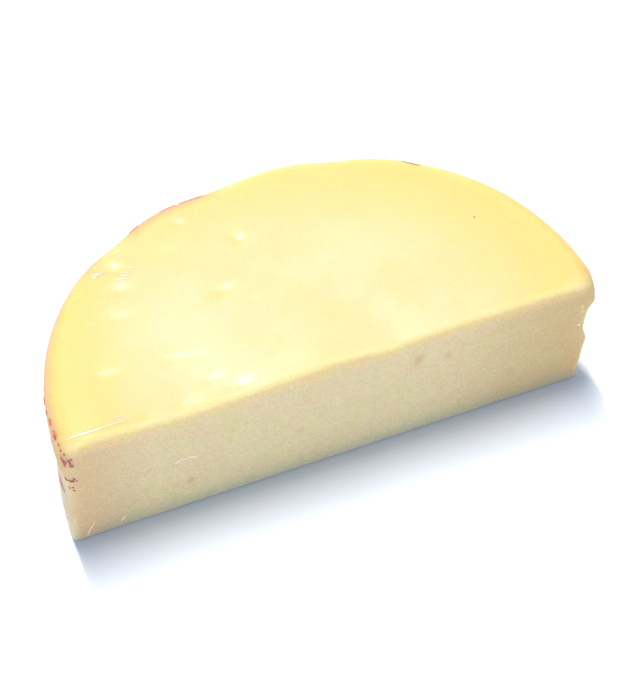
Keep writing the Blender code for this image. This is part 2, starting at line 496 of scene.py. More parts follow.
def makeDentTree():
    # Presses the dents into a surface, and gives all of it a slow, shallow unevenness.
    bench = newTree("pressDents", {"Dents": "Object", "Depth": "Float", "Unevenness": "Float",
                                   "Inset": "Float", "Material": "Material"})
    dents = bench.node("GeometryNodeObjectInfo", None, {"Object": bench.given("Dents")},
                       output="Geometry")
    where = bench.node("GeometryNodeInputPosition")
    facing = bench.node("GeometryNodeInputNormal")
    nearest = bench.node("GeometryNodeSampleNearest", None,
                         {"Geometry": dents, "Sample Position": where})

    def atDent(kind, value):
        return bench.node("GeometryNodeSampleIndex", {"data_type": kind},
                          {"Geometry": dents, "Value": value, "Index": nearest})

    away = bench.vector("SUBTRACT", where, atDent("FLOAT_VECTOR", where))
    wide = atDent("FLOAT", bench.named("wide"))
    tall = atDent("FLOAT", bench.named("tall"))
    reach = bench.node("ShaderNodeCombineXYZ", None, {"X": wide, "Y": tall, "Z": tall})
    spread = bench.vector("DIVIDE", away, reach)
    distance = bench.vector("LENGTH", spread, output="Value")
    fall = bench.node("ShaderNodeMath", {"operation": "EXPONENT"}, {0: distance * distance * -1.0})
    dent = fall * atDent("FLOAT", bench.named("deep"))

    patches = bench.grain(where, surface["patchSize"], detail=1.5)
    uneven = (patches - 0.5) * bench.given("Unevenness")
    sink = uneven - dent * bench.given("Depth") - bench.given("Inset")
    marked = bench.node("GeometryNodeStoreNamedAttribute", {"data_type": "FLOAT", "domain": "POINT"},
                        {"Geometry": bench.given("Geometry"), "Name": "dent",
                         "Value": dent / surface["fullDent"]})
    moved = bench.node("GeometryNodeSetPosition", None,
                       {"Geometry": marked, "Offset": bench.vector("SCALE", facing, sink)})
    finishTree(bench, moved)
    return bench


dentTree = makeDentTree()


# Looks of the cheese: pale moist flesh, a yellower skin at the rim, faint curd on the cut.
cheeseLook = {
    "flesh": (0.79, 0.638, 0.300, 1.0),
    "fleshPale": (0.80, 0.670, 0.360, 1.0),
    "nearRim": (0.78, 0.605, 0.200, 1.0),
    # painted shade: a deeper yellow inside the dents of the top
    "dentPaintedShade": (0.80, 0.675, 0.19, 1.0),
    "cutFlesh": (0.93, 0.735, 0.395, 1.0),
    "cutPale": (0.94, 0.755, 0.440, 1.0),
    "cutRosy": (0.94, 0.715, 0.400, 1.0),
    "cutGreen": (0.89, 0.750, 0.380, 1.0),
    "cutNearRim": (0.77, 0.530, 0.240, 1.0),
    "cutLeftEnd": (0.83, 0.565, 0.300, 1.0),
    "cutPaintedShadeLow": (0.995, 0.985, 0.98, 1.0),    # painted shade: the cut is multiplied by this near the base, darker towards the floor
    # painted shade: darker inside the eyes of the cut
    "eyePaintedShade": (0.78, 0.55, 0.26, 1.0),
    "paintedWarmBand": (0.99, 0.76, 0.365, 1.0),       # painted light: the warmer band under the cut's top edge, a glow of light through the edge
    "rind": (0.79, 0.530, 0.170, 1.0),
    "rindDeep": (0.76, 0.450, 0.130, 1.0),
    "rindLipAndShade": (0.76, 0.400, 0.150, 1.0),   # where the rim turns down: the skin's orange, deepened by painted shade
    "wall": (0.90, 0.700, 0.350, 1.0),      # the skin lower down the rim
    "wallRosy": (0.86, 0.620, 0.300, 1.0),
    "blush": (0.90, 0.60, 0.38, 1.0),       # red print that shows through, faint and strong
    "printBlush": (0.80, 0.34, 0.17, 1.0),
    "grainTint": (0.87, 0.865, 0.86, 1.0),
    "glowShare": 0.80,
    "glowReach": (0.0130, 0.0080, 0.0032),
    "roughness": (0.55, 0.20),              # least, and what the curd adds
    "reliefDepth": 0.00025,
    "reliefStrength": 0.35,
    "patchSize": {"broad": 0.030, "rosy": 0.0150, "curd": 0.0045, "fine": 0.0011, "speckle": 0.00085},
}

# Where each colour takes over: start and end of its border, its greatest share, and how far the
# border wanders with the broad patches. Borders along X and Z are in metres, those towards the
# rim are shares of the way out, and those of patches are values of the noise.
cheeseBorders = {
    "fleshPale": (0.35, 0.68, 1.0, 0.0),
    "nearRim": (0.52, 1.06, 1.0, 0.2),
    "nearRimLeft": (-0.070, -0.110, 0.28, 0.0),     # at the left end it starts further in
    "cutPale": (0.36, 0.64, 1.0, 0.0),
    "cutRosy": (0.50, 0.66, 0.8, 0.0),
    "cutGreen": (0.50, 0.36, 0.8, 0.0),
    "cutNearRim": (0.35, 1.3, 0.9, 0.4),
    "cutLeftEnd": (-0.088, -0.129, 0.85, 0.01),
    # painted shade towards the base of the cut
    "cutPaintedShadeLow": (0.072, 0.024, 1.0, 0.0),
    "skinRight": (0.085, 0.125, 0.03, 0.0),         # at the right end the skin is wider
    "rind": (0.3, 0.7, 1.0, 0.0),
    # the skin's orange where the rim turns down, with painted shade
    "rindLipAndShade": (0.974, 0.992, 0.75, 0.02),
    "wall": (0.062, 0.047, 1.0, 0.012),
    "wallRosy": (0.35, 0.65, 1.0, 0.0),
    "cornerBlush": (-0.121, -0.131, 1.0, 0.0),
    "cornerBlushTop": (0.076, 0.064, 1.0, 0.0),
    "cornerBlushFoot": (0.016, 0.034, 1.0, 0.0),
    "rimBlush": (0.955, 1.0, 1.0, 0.0),
    "rimBlushLeft": (0.0, -0.03, 1.0, 0.06),
    "printLeft": (-0.072, -0.058, 1.0, 0.0),
    "printRight": (-0.012, -0.028, 1.0, 0.0),
    "faintPrintLeft": (-0.096, -0.088, 0.4, 0.0),
    "faintPrintRight": (-0.078, -0.085, 1.0, 0.0),
    "printOut": (0.915, 0.980, 1.0, 0.03),
    "printUp": (0.060, 0.067, 0.85, 0.0),
    "speckle": (0.40, 0.64, 1.0, 0.0),
}

# Shares that belong to no such border.
cheeseShares = {
    "yellowerRight": 1.3,       # for each metre to the right, the yellow starts this much further in
    "cutYellowerRight": 2.5,
    "dentPaintedShade": (0.4, 0.7),     # painted shade: its share in one whole dent, and at most
    # painted shade in the eyes: its share in one whole eye, and at most
    "eyePaintedShade": (0.9, 0.8),
    # how strong the painted warm band of light is
    "paintedWarmBand": 0.85,
    "skin": 0.9,
    "skinBorder": (0.952, 0.990, 0.03),     # start, end, and how far it wanders
    "blush": 0.35,
    "speckleOffCut": 0.4,
}


class CheesePlaces:
    # What the colours of the cheese go by, and how one colour takes over from another.
    def __init__(self, bench):
        self.bench = bench
        size = cheeseLook["patchSize"]
        place = bench.place()
        self.along = bench.part(place, "X")
        self.height = bench.part(place, "Z")
        self.rim = bench.attribute("rim")
        self.cut = bench.attribute("cut")
        self.dent = bench.attribute("dent")
        self.broad = bench.grain(place, size["broad"], detail=3.0)
        self.rosy = bench.grain(place, size["rosy"], detail=2.0, roughness=0.6)
        self.curd = bench.grain(place, size["curd"], detail=3.0, roughness=0.6)
        self.fine = bench.grain(place, size["fine"], detail=2.0)
        self.speckle = bench.grain(place, size["speckle"], detail=2.0, roughness=0.8)

    def border(self, name, value):
        start, end, most, wander = cheeseBorders[name]
        if wander:
            value = value + (self.broad - 0.5) * wander
        return self.bench.ramp(value, start, end, most)

    def tint(self, colour, name, value):
        return self.bench.blend(self.border(name, value), colour, cheeseLook[name])

    def paintShadeInDents(self, colour, name):
        # Painted shade: deepens the colour inside the dents and eyes.
        share, most = cheeseShares[name]
        return self.bench.blend((self.dent * share).atMost(most), colour, cheeseLook[name])


def topColour(at):
    outward = at.rim + at.along * cheeseShares["yellowerRight"] + at.border("nearRimLeft", at.along)
    colour = at.tint(cheeseLook["flesh"], "fleshPale", at.broad)
    colour = at.tint(colour, "nearRim", outward)
    # painted shade inside the dents
    return at.paintShadeInDents(colour, "dentPaintedShade")


def cutColour(at):
    outward = at.rim + at.along * cheeseShares["cutYellowerRight"]
    colour = at.tint(cheeseLook["cutFlesh"], "cutPale", (at.curd + at.broad) * 0.5)
    colour = at.tint(colour, "cutRosy", at.rosy)
    colour = at.tint(colour, "cutGreen", at.rosy)
    colour = at.tint(colour, "cutNearRim", outward)
    colour = at.tint(colour, "cutLeftEnd", at.along)
    # painted shade: the cut darkens towards the base
    colour = at.bench.shade(at.border("cutPaintedShadeLow", at.height), colour, cheeseLook["cutPaintedShadeLow"])
    # painted shade inside the eyes
    return at.paintShadeInDents(colour, "eyePaintedShade")


def rindColour(at):
    # Orange where the rim turns down, deepened there by painted shade, paler and rosier lower on the
    # wall.
    colour = at.tint(cheeseLook["rindDeep"], "rind", at.curd)
    # the skin deepened by painted shade where the rim turns down
    colour = at.tint(colour, "rindLipAndShade", at.rim)
    wall = at.tint(cheeseLook["wall"], "wallRosy", at.broad)
    return at.bench.blend(at.border("wall", at.height), colour, wall)


def rindShare(at):
    start, end, wander = cheeseShares["skinBorder"]
    start = start - at.border("skinRight", at.along)
    skin = at.bench.ramp(at.rim + (at.broad - 0.5) * wander, start, end)
    return skin * (1.0 - at.cut) * cheeseShares["skin"]


def addBlush(at, colour):
    # Red print shows through as a blush, at the left end and along the back of the rim.
    corner = at.border("cornerBlush", at.along) * at.border("cornerBlushTop", at.height)
    corner = corner * at.border("cornerBlushFoot", at.height)
    back = at.border("rimBlush", at.rim) * at.border("rimBlushLeft", at.along)
    colour = at.bench.blend(corner.atLeast(back) * cheeseShares["blush"], colour, cheeseLook["blush"])

    strong = at.border("printLeft", at.along) * at.border("printRight", at.along)
    faint = at.border("faintPrintLeft", at.along) * at.border("faintPrintRight", at.along)
    printed = strong.atLeast(faint) * at.border("printOut", at.rim) * at.border("printUp", at.height)
    return at.bench.blend(printed, colour, cheeseLook["printBlush"])


def makeCheeseMaterial():
    material, bench = newMaterial("provoloneFlesh")
    at = CheesePlaces(bench)
    colour = bench.blend(at.cut, topColour(at), cutColour(at))
    # painted light: a warm band under the cut's top edge
    colour = bench.blend(bench.attribute("paintedWarmBand") * cheeseShares["paintedWarmBand"], colour, cheeseLook["paintedWarmBand"])
    colour = bench.blend(rindShare(at), colour, rindColour(at))
    colour = addBlush(at, colour)
    offCut = cheeseShares["speckleOffCut"]
    speckled = at.border("speckle", at.speckle) * (at.cut * (1.0 - offCut) + offCut)
    colour = bench.shade(speckled, colour, cheeseLook["grainTint"])

    # no shine of its own, as the film lies on it without a gap that light would see
    relief = bench.bump(at.curd * 0.6 + at.fine * 0.4, cheeseLook["reliefDepth"],
                        strength=cheeseLook["reliefStrength"])
    roughness, curdRoughness = cheeseLook["roughness"]
    shader = bench.node("ShaderNodeBsdfPrincipled", None, {
        "Base Color": colour, "Roughness": roughness + at.curd * curdRoughness, "Normal": relief,
        "Subsurface Weight": cheeseLook["glowShare"], "Subsurface Radius": cheeseLook["glowReach"],
        "Subsurface Scale": 1.0, "Specular IOR Level": 0.05})
    finishMaterial(bench, shader)
    return material


# Looks of the film: how much it shines, and how cloudy it is where it stands off the cheese.
filmLook = {
    "headOn": 0.011,
    "grazing": 0.03,
    "grazingPower": 5.0,    # how steeply the shine rises towards a grazing view
    "inDents": 0.028,       # more shine where the film is pulled down into a dent
    "roughness": 0.28,
    "dullEdge": 0.70,       # how much of the shine the cut's top edge loses
    "creaseSize": 0.0036,
    "creaseStretch": (0.28, 1.0, 1.0),
    "slackSize": 0.012,
    "creaseDepth": 0.0004,
    "creaseStrength": 0.18,
    "mostCover": 0.85,      # film never hides more of the cheese than this
    "cloudColour": (0.99, 0.98, 0.94, 1.0),
    "foldShine": 0.030,
    "foldRoughness": 0.15,
    # the white of the threads: whitened film, and painted highlights where they stand in for glints
    "threadWhiteAndGlint": 0.75,
    "threadShine": 0.10,
    "threadFade": (0.25, 0.45),     # values of the slack noise where their white starts and is whole
    "cutThreadCloud": 0.70,
    "cutThreadShine": 0.04,
    "cutThreadColour": (0.99, 0.84, 0.62, 1.0),
    "cutThreadPaintedGlow": 0.34,  # painted light: a glow that makes up for the light the cheese beside them spreads
}

# Clouds of the film: how white each is, and where it starts and is whole, as in cheeseBorders.
filmClouds = {
    "top": 0.02,
    "topStreaks": (0.52, 0.66),
    "cut": 0.05,
    "patches": (0.50, 0.70),
    "patchSize": 0.0070,
    "foot": 0.16,
    "footHeight": (0.014, 0.001),
    "footWander": 0.008,
    "leftEnd": 0.26,
    "leftEndAlong": (-0.1292, -0.1318),
    "leftEndHeight": (0.066, 0.045),
    "leftEndBetween": 0.3,  # what is left of it between the patches
}


def makeFilmMaterial(name, cloud, headOn=filmLook["headOn"], grazing=0.0,
                     roughness=filmLook["roughness"], colour=filmLook["cloudColour"], paintedGlow=0.0):
    # Clear film is a share of mirror shine over nothing; where it stands off, some is cloudy white.
    material, bench = newMaterial(name)
    place = bench.place()
    facing = bench.node("ShaderNodeLayerWeight", None, {"Blend": 0.5}, output="Facing")
    drawn = bench.node("ShaderNodeMapping", None,
                       {"Vector": place, "Scale": filmLook["creaseStretch"]})
    creases = bench.grain(drawn, filmLook["creaseSize"], detail=2.0, roughness=0.5)
    slack = bench.grain(place, filmLook["slackSize"], detail=1.0)
    relief = bench.bump(creases * 0.7 + slack, filmLook["creaseDepth"],
                        strength=filmLook["creaseStrength"])

    dull = bench.attribute("edge") * filmLook["dullEdge"]
    inDents = bench.attribute("dent").atMost(1.0) * filmLook["inDents"]
    gloss = (facing ** filmLook["grazingPower"]) * grazing + inDents + headOn
    gloss = gloss * (1.0 - dull)
    haze = cloud(bench, place, slack, creases)
    # where a glow is set, the film glows: painted light
    shine = bench.node("ShaderNodeBsdfPrincipled", None, {
        "Base Color": colour, "Metallic": gloss / (gloss + haze),
        "Roughness": roughness, "Normal": relief,
        "Emission Color": colour, "Emission Strength": paintedGlow})
    clear = bench.node("ShaderNodeBsdfTransparent")
    shader = bench.node("ShaderNodeMixShader", None,
                        {0: (gloss + haze).atMost(filmLook["mostCover"]), 1: clear, 2: shine})
    finishMaterial(bench, shader)
    return material


def looseCloud(bench, place, slack, creases):
    # Film that stands off the cheese: streaks on the top, soft patches on the cut and its foot.
    cut = bench.attribute("cut")
    height = bench.part(place, "Z")
    streaks = bench.ramp(creases * 0.6 + slack * 0.4, *filmClouds["topStreaks"])
    patches = bench.grain(place, filmClouds["patchSize"], detail=4.0, roughness=0.7)
    patches = bench.ramp(patches, *filmClouds["patches"])
    foot = bench.ramp(height + (slack - 0.5) * filmClouds["footWander"], *filmClouds["footHeight"])
    leftEnd = bench.ramp(bench.part(place, "X"), *filmClouds["leftEndAlong"])
    leftEnd = leftEnd * bench.ramp(height, *filmClouds["leftEndHeight"])
    between = filmClouds["leftEndBetween"]
    leftEnd = leftEnd * (patches * (1.0 - between) + between)
    onTop = streaks * (1.0 - cut) * filmClouds["top"]
    onWalls = foot * filmClouds["foot"] + leftEnd * filmClouds["leftEnd"]
    return onTop + patches * cut * filmClouds["cut"] + onWalls


def evenCloud(amount):
    # The same cloud all over, but for gaps where the film is least slack: none where it is 0.
    def cloud(bench, place, slack, creases):
        return bench.ramp(slack, *filmLook["threadFade"]) * amount
    return cloud


def makeSkin(name, withEyes, depth, inset, material):
    # The whole wheel's surface with its dents pressed in: once as cheese and once as film.
    marks = dentMarks(withEyes)
    piece = growPiece(name, wheelMesh(), dentTree, {
        "Dents": marks, "Depth": depth, "Unevenness": surface["unevenness"], "Inset": inset,
        "Material": material})
    mesh = marks.data
    bpy.data.objects.remove(marks, do_unlink=True)
    bpy.data.meshes.remove(mesh)
    return piece


cheese = makeSkin("cheese", True, 1.0, surface["gap"], makeCheeseMaterial())
film = makeSkin("film", False, surface["dentsInFilm"], 0.0,
                makeFilmMaterial("clearFilm", looseCloud, grazing=filmLook["grazing"]))
print("cheese and film made:", len(cheese.data.polygons), len(film.data.polygons))


def filmAt(bench):
    # Nearest point of the film to each point, and the film's outward direction there.
    skin = bench.node("GeometryNodeObjectInfo", None, {"Object": bench.given("Film")},
                      output="Geometry")
    nearest = bench.node("GeometryNodeProximity", None, {"Geometry": skin}, output="Position")
    outward = bench.node("GeometryNodeSampleNearestSurface", {"data_type": "FLOAT_VECTOR"},
                         {"Mesh": skin, "Value": bench.node("GeometryNodeInputNormal")})
    return nearest, bench.vector("NORMALIZE", outward)


# Lines on the film. Each row is the start, the end, how far it bows aside and its width. Folds
# are clear and only glint, threads are whitened film and painted highlights in place of glints, and
# strokes are red print.
lineLook = {
    "steps": 12,
    "profileSides": 8,
    "endWidth": 0.02,           # share of the width that is left at a line's ends
    "taper": 0.6,
    # share of the tube that stands out of the film, and share of its width that then shows
    "raised": (0.10, 0.60),
    "flat": (0.03, 0.432),      # so that a thread has no dark side
}
top = wheel["height"]

clearFolds = [
    ((-0.0740, 0.0985, top), (-0.0675, 0.0990, top), 0.0006, 0.0010),
    ((-0.0880, 0.0882, top), (-0.0785, 0.0906, top), -0.0010, 0.0009),
    ((-0.1000, 0.0344, top), (-0.0915, 0.0348, top), 0.0004, 0.0009),
    ((-0.0705, 0.0330, top), (-0.0575, 0.0311, top), 0.0008, 0.0010),
    ((-0.0730, 0.0400, top), (-0.0660, 0.0393, top), 0.0003, 0.0006),
    ((-0.0575, 0.0184, top), (-0.0520, 0.0188, top), 0.0003, 0.0008),
    ((-0.0560, 0.0142, top), (-0.0500, 0.0148, top), 0.0004, 0.0009),
    ((0.1210, 0.0, 0.0345), (0.1250, 0.0, 0.0120), 0.0008, 0.0008),
]

# White lines of film. Along the edge and in the arcs they are painted highlights in place of glints.
whiteThreads = [
    # painted highlight: a glint line along the cut's top edge at the left
    ((-0.1248, 0.0068, top), (-0.1080, 0.0060, top), 0.0002, 0.00038),
    ((-0.1150, 0.0062, top), (-0.0940, 0.0064, top), 0.0003, 0.00020),
    ((-0.1020, 0.0098, top), (-0.0960, 0.0088, top), 0.0002, 0.00014),
    # painted highlights: arcs that glint where the film gathers near the rim
    ((-0.0748, 0.0948, top), (-0.0702, 0.0956, top), 0.0004, 0.00030),
    ((-0.0849, 0.0936, top), (-0.0816, 0.0934, top), 0.0003, 0.00020),
    ((-0.0864, 0.0914, top), (-0.0792, 0.0902, top), -0.0016, 0.00024),
    ((-0.0868, 0.0898, top), (-0.0836, 0.0884, top), -0.0006, 0.00017),
    # short hatching beside the deep dent
    ((-0.0702, 0.0880, top), (-0.0664, 0.0874, top), 0.0002, 0.00013),
    ((-0.0737, 0.0862, top), (-0.0690, 0.0848, top), 0.0002, 0.00017),
    ((-0.0750, 0.0848, top), (-0.0704, 0.0835, top), 0.0002, 0.00018),
    ((-0.0768, 0.0834, top), (-0.0720, 0.0822, top), 0.0002, 0.00018),
]

# Threads on the upright cut, where white film takes the warm colour of the cheese. They glow: painted
# light that makes them lighter than the cut.
cutThreads = [
    ((-0.0790, 0.0, 0.0380), (-0.0675, 0.0, 0.0378), 0.0018, 0.00052),
    ((-0.1236, 0.0, 0.0020), (-0.1190, 0.0, 0.0120), 0.0006, 0.00015),
    ((-0.1085, 0.0, 0.0020), (-0.1040, 0.0, 0.0095), 0.0004, 0.00022),
    ((-0.0760, 0.0, 0.0100), (-0.0715, 0.0, 0.0120), 0.0003, 0.00018),
    ((0.1232, 0.0, 0.0600), (0.1230, 0.0, 0.0500), 0.0003, 0.00030),
    ((0.1226, 0.0, 0.0445), (0.1240, 0.0, 0.0430), 0.0002, 0.00040),
]

redStrokes = [
    # flecks and dashes on the rounding of the left end
    ((-0.1262, 0.0375, 0.0662), (-0.1270, 0.0330, 0.0668), 0.0, 0.0004),
    ((-0.1274, 0.0300, 0.0672), (-0.1276, 0.0262, 0.0680), 0.0, 0.0004),
    ((-0.1278, 0.0235, 0.0690), (-0.1282, 0.0190, 0.0694), 0.0002, 0.0009),
    ((-0.1283, 0.0165, 0.0696), (-0.1285, 0.0108, 0.0699), 0.0003, 0.0016),
    ((-0.1281, 0.0086, 0.0708), (-0.1279, 0.0068, 0.0704), 0.0, 0.0005),
    ((-0.1278, 0.0054, 0.0698), (-0.1277, 0.0046, 0.0696), 0.0, 0.0006),
    ((-0.1272, 0.0028, 0.0696), (-0.1269, 0.0022, 0.0693), 0.0, 0.0006),
    # a row of bars, a smaller one and a fainter one round the left corner
    ((-0.1288, 0.0034, 0.0672), (-0.1277, 0.0020, 0.0600), 0.0003, 0.0007),
    ((-0.1279, 0.0022, 0.0648), (-0.1271, 0.0016, 0.0628), 0.0, 0.0008),
    ((-0.1267, 0.0013, 0.0668), (-0.1259, 0.0008, 0.0604), 0.0009, 0.0006),
    ((-0.1254, 0.0005, 0.0662), (-0.1243, 0.0001, 0.0664), 0.0002, 0.0006),
    ((-0.1255, 0.0005, 0.0612), (-0.1242, 0.0001, 0.0622), -0.0003, 0.0006),
    ((-0.1285, 0.0034, 0.0512), (-0.1279, 0.0026, 0.0482), 0.0, 0.0005),
    ((-0.1275, 0.0020, 0.0498), (-0.1264, 0.0012, 0.0482), 0.0003, 0.0006),
    ((-0.1261, 0.0010, 0.0500), (-0.1252, 0.0005, 0.0484), 0.0, 0.0010),
    ((-0.1252, 0.0005, 0.0520), (-0.1249, 0.0004, 0.0500), 0.0, 0.0005),
    ((-0.1240, 0.0001, 0.0496), (-0.1238, 0.0001, 0.0494), 0.0, 0.0004),
    ((-0.1278, 0.0027, 0.0434), (-0.1272, 0.0020, 0.0416), 0.0, 0.0003),
    ((-0.1268, 0.0015, 0.0440), (-0.1255, 0.0006, 0.0436), 0.0002, 0.0003),
    ((-0.1266, 0.0013, 0.0416), (-0.1252, 0.0005, 0.0414), 0.0, 0.0003),
    # print seen edge on, at the left end and along the back
    ((-0.1279, 0.0270, 0.0200), (-0.1286, 0.0120, 0.0257), 0.0003, 0.0011),
    ((-0.0620, 0.1100, 0.0700), (-0.0560, 0.1128, 0.0704), 0.0, 0.0003),
    ((-0.0450, 0.1158, 0.0706), (-0.0352, 0.1180, 0.0702), 0.0, 0.0003),
    ((-0.0345, 0.1180, 0.0706), (-0.0215, 0.1182, 0.0714), 0.0, 0.0004),
    ((0.0746, 0.1046, 0.0714), (0.0822, 0.0962, 0.0728), 0.0, 0.0003),
    # a speck caught under the film
    ((0.0923, 0.0567, top), (0.0930, 0.0573, top), 0.0, 0.0004),
]


# Short upright and slanting threads round the rim. Heights are shares of the top's.
pleatLook = {
    "count": 34,
    "seed": 7,
    "stretch": (0.08, math.pi - 0.12),          # angles of the first and the last
    "lastAngles": (0.03, math.pi - 0.05),       # none leans out past these
    "wander": 0.03,
    "foot": (0.05, 0.55),
    "tall": (0.18, 0.38),
    "underTop": 0.006,          # they end at least this far under the top
    "lean": 0.06,
    "bow": 0.002,
    "width": (0.00010, 0.00022),
}


def rimPleats():
    dice = np.random.default_rng(pleatLook["seed"])
    wander, lean, bow = pleatLook["wander"], pleatLook["lean"], pleatLook["bow"]
    rows = []
    for angle in np.linspace(*pleatLook["stretch"], pleatLook["count"]):
        turn = angle + dice.uniform(-wander, wander)
        low = top * dice.uniform(*pleatLook["foot"])
        high = low + top * dice.uniform(*pleatLook["tall"])
        endTurn = float(np.clip(turn + dice.uniform(-lean, lean), *pleatLook["lastAngles"]))
        start = (*rimPoint(turn, 0.0), low)
        end = (*rimPoint(endTurn, 0.0), min(high, top - pleatLook["underTop"]))
        rows.append((start, end, dice.uniform(-bow, bow), dice.uniform(*pleatLook["width"])))
    return rows


def makeLineTree():
    # Lays each line on the film as a thin tube that tapers to its ends and is mostly sunk in.
    bench = newTree("drawLines", {"Film": "Object", "Steps": "Int", "Sides": "Int",
                                  "Rise": "Float", "Material": "Material"})
    line = bench.node("GeometryNodeMeshToCurve", None, {"Mesh": bench.given("Geometry")})
    line = bench.node("GeometryNodeResampleCurve", None,
                      {"Curve": line, "Count": bench.given("Steps")})
    along = bench.node("GeometryNodeSplineParameter", output="Factor")
    arch = bench.node("ShaderNodeMath", {"operation": "SINE"}, {0: along * math.pi})
    outward = filmAt(bench)[1]
    aside = bench.vector("NORMALIZE", bench.vector(
        "CROSS_PRODUCT", outward, bench.node("GeometryNodeInputTangent")))
    bowed = bench.node("GeometryNodeSetPosition", None, {
        "Geometry": line, "Offset": bench.vector("SCALE", aside, arch * bench.named("bow"))})
    nearest, outward = filmAt(bench)
    taper = arch.atLeast(0.0) ** lineLook["taper"] + lineLook["endWidth"]
    width = bench.named("width") * taper
    laid = bench.node("GeometryNodeSetPosition", None, {
        "Geometry": bowed, "Position": nearest,
        "Offset": bench.vector("SCALE", outward, width * bench.given("Rise") * 2.0 - width)})
    profile = bench.node("GeometryNodeCurvePrimitiveCircle", None,
                         {"Resolution": bench.given("Sides"), "Radius": 1.0})
    tube = bench.node("GeometryNodeCurveToMesh", None, {
        "Curve": laid, "Profile Curve": profile, "Scale": width, "Fill Caps": True})
    finishTree(bench, tube)
    return bench


lineTree = makeLineTree()


def makeLines(name, rows, material, form="raised"):
    # The less of a tube stands out, the thicker the tube has to be for the same width to show.
    rise, shown = lineLook[form]
    thicker = shown / math.sqrt(1.0 - (1.0 - 2.0 * rise) ** 2)
    points, bows, widths = [], [], []
    for start, end, bow, width in rows:
        points += [surfacePoint(*start), surfacePoint(*end)]
        bows += [bow, bow]
        widths += [width * thicker, width * thicker]
    edges = [(2 * place, 2 * place + 1) for place in range(len(rows))]
    return growPiece(name, guideMesh(name, points, edges, bow=bows, width=widths), lineTree, {
        "Film": film, "Steps": lineLook["steps"], "Sides": lineLook["profileSides"],
        "Rise": rise, "Material": material})


# Rows of small plain marks printed in red round the rim.
printRows = {
    # share of the height, size of a mark, spacing
    "rows": ((0.830, 0.0050, 0.0066), (0.690, 0.0032, 0.0048), (0.580, 0.0022, 0.0037)),
    "stretches": ((10, 48), (54, 92), (98, 136), (142, 172)),   # degrees round from +X
    "lift": 0.00008,            # the ink lies this far out of the film
    "halfThick": 0.00004,
    "sizes": (0.55, 1.35),      # the smallest and the largest, as shares of the size
    "kept": 0.85,               # share of the places that have a mark
    "ink": (0.58, 0.100, 0.060, 1.0),
    "inkWorn": (0.78, 0.30, 0.18, 1.0),
    "wornSize": 0.0018,
    "wornBorder": (0.50, 0.72),
    "roughness": (0.28, 0.15),  # of whole ink, and what wear adds
    "grainSize": 0.0009,
    "grainDepth": 0.0001,
    "seed": 3,
}

# The marks before they are scaled: two diamonds, a triangle, three slanting bars and a dot.
markShapes = {
    "thick": 0.02,
    "hollowDiamond": (0.40, 0.11),  # from its middle to a corner, and half the width of its line
    "diamond": 0.50,
    "triangle": 0.52,
    "dot": 0.30,
    "dotSides": 20,
    "bar": (0.16, 0.9),
    "barsApart": 0.22,
    "barsSlant": -0.45,
}


def makeInkMaterial():
    material, bench = newMaterial("redInk")
    place = bench.place()
    worn = bench.grain(place, printRows["wornSize"], detail=3.0, roughness=0.7)
    worn = bench.ramp(worn, *printRows["wornBorder"])
    colour = bench.blend(worn, printRows["ink"], printRows["inkWorn"])
    relief = bench.bump(bench.grain(place, printRows["grainSize"]), printRows["grainDepth"], 0.3)
    whole, added = printRows["roughness"]
    shader = bench.node("ShaderNodeBsdfPrincipled", None, {
        "Base Color": colour, "Roughness": whole + worn * added, "Normal": relief})
    finishMaterial(bench, shader)
    return material


def markInstances(bench):
    # The five shapes of a mark, each an instance of its own.
    thick = markShapes["thick"]

    def joined(parts):
        together = bench.node("GeometryNodeJoinGeometry")
        for part in parts:
            bench.tree.links.new(part.socket, together.socket.node.inputs["Geometry"])
        return together

    def disc(sides, radius):
        return bench.node("GeometryNodeMeshCylinder", None, {
            "Vertices": sides, "Fill Segments": 3, "Radius": radius, "Depth": thick}, output="Mesh")

    def bar(x):
        made = bench.node("GeometryNodeMeshCube", None, {
            "Size": (*markShapes["bar"], thick), "Vertices X": 4, "Vertices Y": 5, "Vertices Z": 2},
            output="Mesh")
        return bench.node("GeometryNodeTransform", None,
                          {"Geometry": made, "Translation": (x, 0.0, 0.0)})

    def ring(sides, radius):
        return bench.node("GeometryNodeCurvePrimitiveCircle", None,
                          {"Resolution": sides, "Radius": radius})

    reach, lineReach = markShapes["hollowDiamond"]
    path = bench.node("GeometryNodeResampleCurve", None, {"Curve": ring(4, reach), "Count": 24})
    hollow = bench.node("GeometryNodeCurveToMesh", None, {
        "Curve": path, "Profile Curve": ring(6, lineReach), "Fill Caps": True})
    apart = markShapes["barsApart"]
    bars = bench.node("GeometryNodeTransform", None, {
        "Geometry": joined([bar(x) for x in (-apart, 0.0, apart)]),
        "Rotation": (0.0, 0.0, markShapes["barsSlant"])})
    shapes = (hollow, disc(4, markShapes["diamond"]), disc(3, markShapes["triangle"]), bars,
              disc(markShapes["dotSides"], markShapes["dot"]))
    return joined([bench.node("GeometryNodeGeometryToInstance", None, {"Geometry": shape})
                   for shape in shapes])


